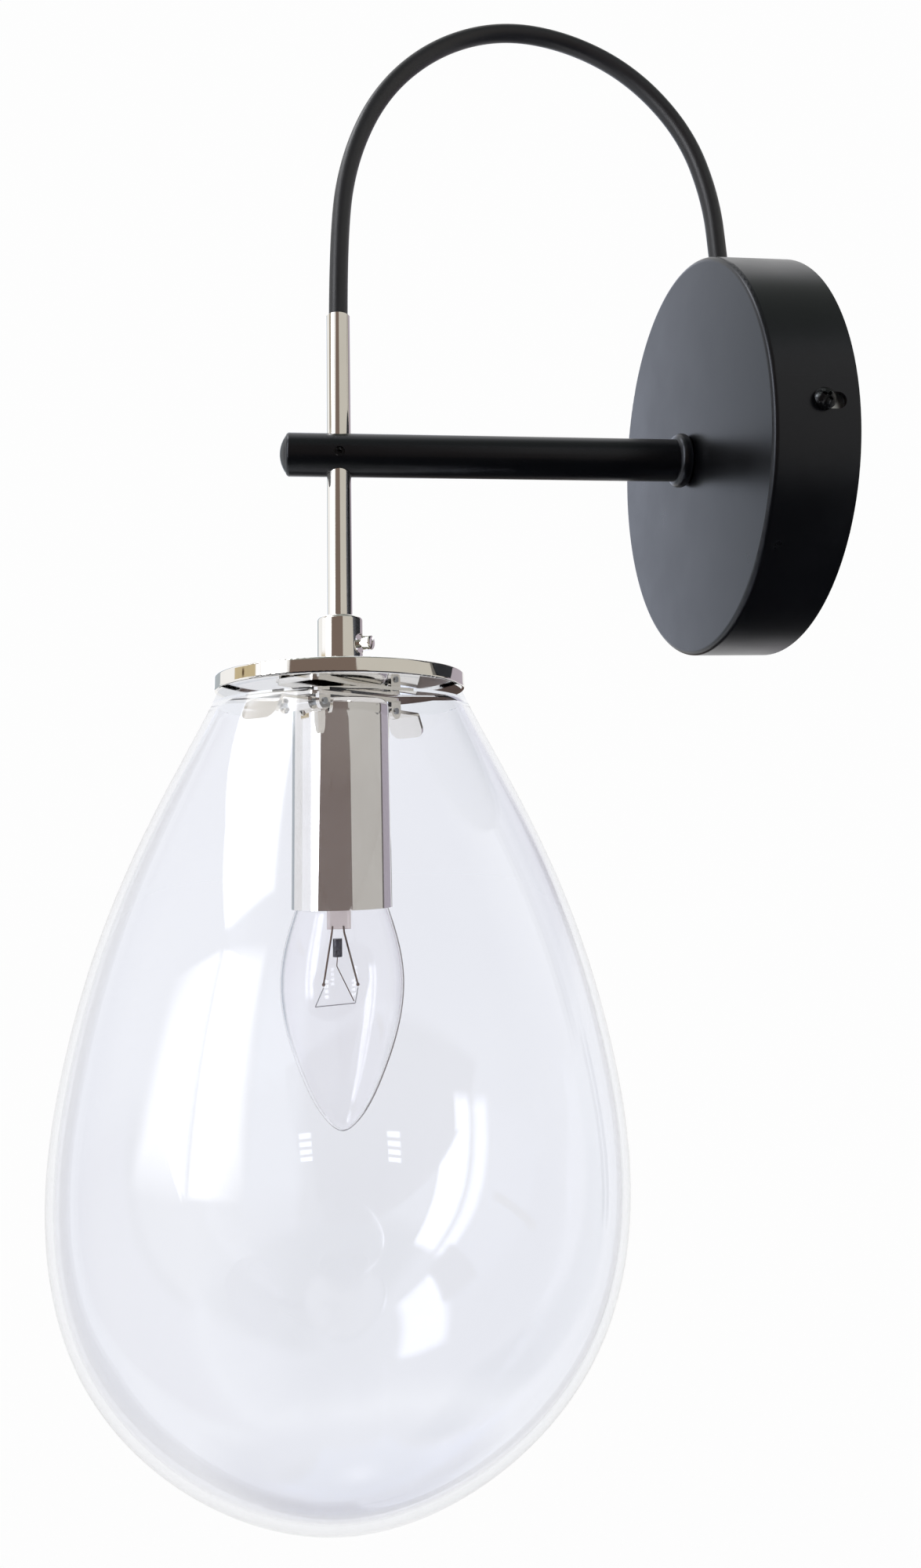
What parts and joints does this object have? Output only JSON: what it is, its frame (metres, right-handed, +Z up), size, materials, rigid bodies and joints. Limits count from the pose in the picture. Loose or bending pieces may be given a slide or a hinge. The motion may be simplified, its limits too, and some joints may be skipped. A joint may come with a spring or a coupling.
{
  "type": "wall sconce",
  "caption": "Hanging pendant wall sconce: round canopy, straight arm, sliding upright rod, flat cap and clear egg-shaped glass shade.",
  "frame": {"origin": "on the wall plane, behind the centre of the round canopy", "axes": "+Y out of the room into the wall, square to the canopy's back; +Z up along the rod; the arm runs along -Y"},
  "size_m": [0.1428, 0.2024, 0.4186],
  "materials": {
    "satin_black_paint": "satin black powder coat",
    "black_oxide_steel": "blackened steel, semi-gloss",
    "bright_nickel": "polished nickel plate",
    "zinc_steel": "zinc-plated pressed steel",
    "brass": "plain brass",
    "black_flex": "smooth black flex sheath",
    "core_brown": "insulated core",
    "black_plastic": "moulded black",
    "white_plastic": "moulded white",
    "clear_glass": "clear blown glass",
    "lamp_glass": "clear thin glass",
    "black_glass": "dark glass insulator",
    "nickel_wire": "drawn wire",
    "solder": "solder",
    "tungsten": "coiled wire"
  },
  "bodies": {
    "wall_side": {"wall_bracket": "zinc_steel", "earth_screw": "brass", "terminal_block": "white_plastic", "terminal_screws": "brass", "terminal_leads": "core_brown", "canopy_cover": "satin_black_paint", "canopy_side_screws": "black_oxide_steel", "cable_bush": "black_plastic", "arm_nipple": "zinc_steel", "arm_washer": "zinc_steel", "arm_nut": "zinc_steel", "arm_collar": "satin_black_paint", "arm_tube": "satin_black_paint", "arm_end_cap": "satin_black_paint", "cable": "black_flex"},
    "arm_set_screw": {"arm_grub_screw": "black_oxide_steel"},
    "hanger": {"rod_tube": "bright_nickel", "lamp_leads": "core_brown", "glass_shade": "clear_glass", "holder_carrier": "bright_nickel", "wing_pins": "zinc_steel", "lampholder_cover": "bright_nickel", "lock_nut": "zinc_steel", "lampholder_body": "black_plastic", "lampholder_shell": "brass", "lampholder_contact": "brass"},
    "shade_cap": {"disc_cap": "bright_nickel", "shade_coupler": "bright_nickel"},
    "cap_set_screw": {"coupler_screw": "bright_nickel"},
    "front_holder_wing": {"front_wing": "bright_nickel"},
    "rear_holder_wing": {"rear_wing": "bright_nickel"},
    "lamp": {"lamp_cap": "zinc_steel", "lamp_insulator": "black_glass", "lamp_contact": "solder", "lamp_envelope": "lamp_glass", "lamp_stem": "lamp_glass", "lamp_wires": "nickel_wire", "lamp_bead": "black_glass", "lamp_filament": "tungsten"}
  },
  "joints": [
    {"name": "rod_height", "type": "slide", "parent": "wall_side", "child": "hanger", "axis": [0, 0, 1], "range_m": [-0.03, 0.02], "deforming": ["cable"]},
    {"name": "arm_screw_travel", "type": "slide", "parent": "wall_side", "child": "arm_set_screw", "axis": [1, 0, 0], "range_m": [0, 0.0012]},
    {"name": "cap_lift", "type": "slide", "parent": "hanger", "child": "shade_cap", "axis": [0, 0, 1], "range_m": [0, 0.021]},
    {"name": "cap_screw_travel", "type": "slide", "parent": "shade_cap", "child": "cap_set_screw", "axis": [0.4848, 0.8746, 0], "range_m": [0, 0.0015]},
    {"name": "front_wing_fold", "type": "hinge", "parent": "hanger", "child": "front_holder_wing", "pos_m": [0.01208, -0.1405, -0.0757], "axis": [0.6561, 0.7547, 0], "range_deg": [0, 65], "stiffness_Nm_per_rad": 0.02, "springref_deg": -20.05},
    {"name": "rear_wing_fold", "type": "hinge", "parent": "hanger", "child": "rear_holder_wing", "pos_m": [-0.01208, -0.1195, -0.0757], "axis": [-0.6561, -0.7547, 0], "range_deg": [0, 65], "stiffness_Nm_per_rad": 0.02, "springref_deg": -20.05},
    {"name": "lamp_unscrew", "type": "slide", "parent": "hanger", "child": "lamp", "axis": [0, 0, -1], "range_m": [0, 0.026]}
  ]
}
